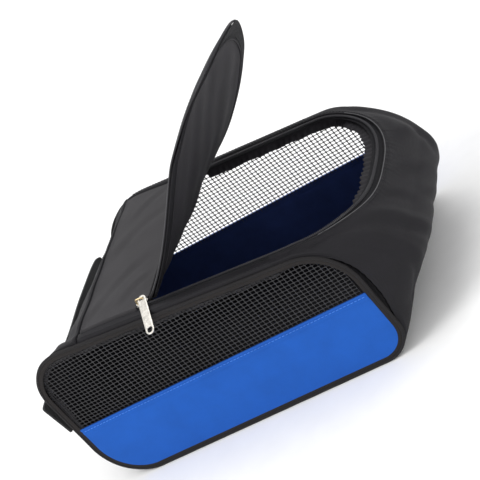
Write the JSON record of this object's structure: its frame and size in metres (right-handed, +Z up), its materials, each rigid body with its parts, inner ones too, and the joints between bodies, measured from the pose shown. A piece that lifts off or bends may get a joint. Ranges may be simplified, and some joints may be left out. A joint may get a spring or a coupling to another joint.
{
  "type": "shoe bag",
  "caption": "Soft black shoe bag with mesh sides over blue fabric bands, a U-shaped zip flap on top and a webbing grab handle on the heel end.",
  "frame": {"origin": "middle of the flat base, on the surface that the bag stands on", "axes": "+X towards the toe end along the length, +Y towards the far side panel, +Z up out of the base"},
  "size_m": [0.4131, 0.2602, 0.295],
  "materials": {
    "black_cloth": "coated plain-weave nylon, satin",
    "lining": "thin coated lining, matt",
    "zip_tape": "woven tape",
    "zip_coil": "nylon coil",
    "binding": "woven binding tape",
    "net": "knotted nylon net",
    "blue_cloth": "matt fine-weave polyester",
    "webbing": "ribbed webbing",
    "nickel": "polished nickel plate"
  },
  "bodies": {
    "bag": {"base_panel": "black_cloth", "heel_panel": "black_cloth", "top_rear_panel": "black_cloth", "near_rail": "black_cloth", "far_rail": "black_cloth", "toe_panel": "black_cloth", "rim_facing": "lining", "zip_tape_body": "zip_tape", "zip_coil_body": "zip_coil", "near_end_stop": "zip_coil", "far_end_stop": "zip_coil", "hinge_seam_binding": "binding", "near_mesh": "net", "far_mesh": "net", "near_blue_band": "blue_cloth", "far_blue_band": "blue_cloth", "near_piping": "binding", "far_piping": "binding", "near_seam_binding": "binding", "far_seam_binding": "binding"},
    "flap": {"flap_panel": "black_cloth", "flap_lining": "lining", "zip_tape_flap": "zip_tape", "zip_coil_flap": "zip_coil"},
    "slider": {"slider_body": "nickel", "slider_bail": "nickel"},
    "pull_tab": {"pull_tab": "nickel"},
    "handle": {"grab_handle": "webbing"}
  },
  "joints": [
    {"name": "flap_hinge", "type": "hinge", "parent": "bag", "child": "flap", "pos_m": [-0.01979, 0, 0.15558], "axis": [0, -1, 0], "range_deg": [-49, 95]},
    {"name": "slider_run", "type": "slide", "parent": "bag", "child": "slider", "axis": [0.9956, 0, -0.0939], "range_m": [0, 0.13]},
    {"name": "pull_swing", "type": "hinge", "parent": "slider", "child": "pull_tab", "pos_m": [-0.02624, -0.09945, 0.16213], "axis": [-0.9956, 0, 0.0939], "range_deg": [0, 105]},
    {"name": "handle_tilt", "type": "hinge", "parent": "bag", "child": "handle", "pos_m": [-0.1765, 0, 0.098], "axis": [0, 1, 0], "range_deg": [-5, 9]}
  ]
}
